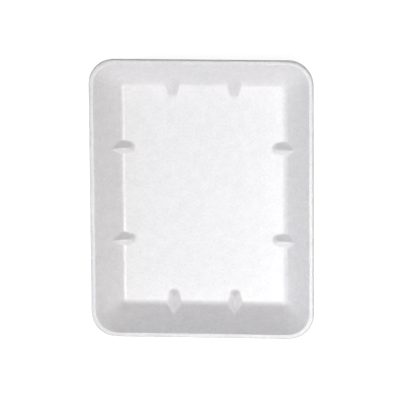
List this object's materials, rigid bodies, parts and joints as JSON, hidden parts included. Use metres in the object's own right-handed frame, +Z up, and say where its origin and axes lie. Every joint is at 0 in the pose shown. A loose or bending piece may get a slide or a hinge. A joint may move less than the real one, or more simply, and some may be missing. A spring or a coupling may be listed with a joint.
{
  "type": "foam meat tray",
  "caption": "Rectangular white foam tray with leaning walls, rounded corners, a narrow flat rim and pointed stacking ribs over the foot of the walls.",
  "frame": {"origin": "centre of the flat base, on the surface that the tray stands on", "axes": "+Z up out of the open side, +Y along the longer side, +X along the shorter side"},
  "size_m": [0.21, 0.266, 0.032],
  "materials": {
    "polystyrene_foam": "white extruded polystyrene foam, smooth skin with fine cells showing through"
  },
  "bodies": {
    "root": {"tray": "polystyrene_foam"}
  },
  "joints": []
}
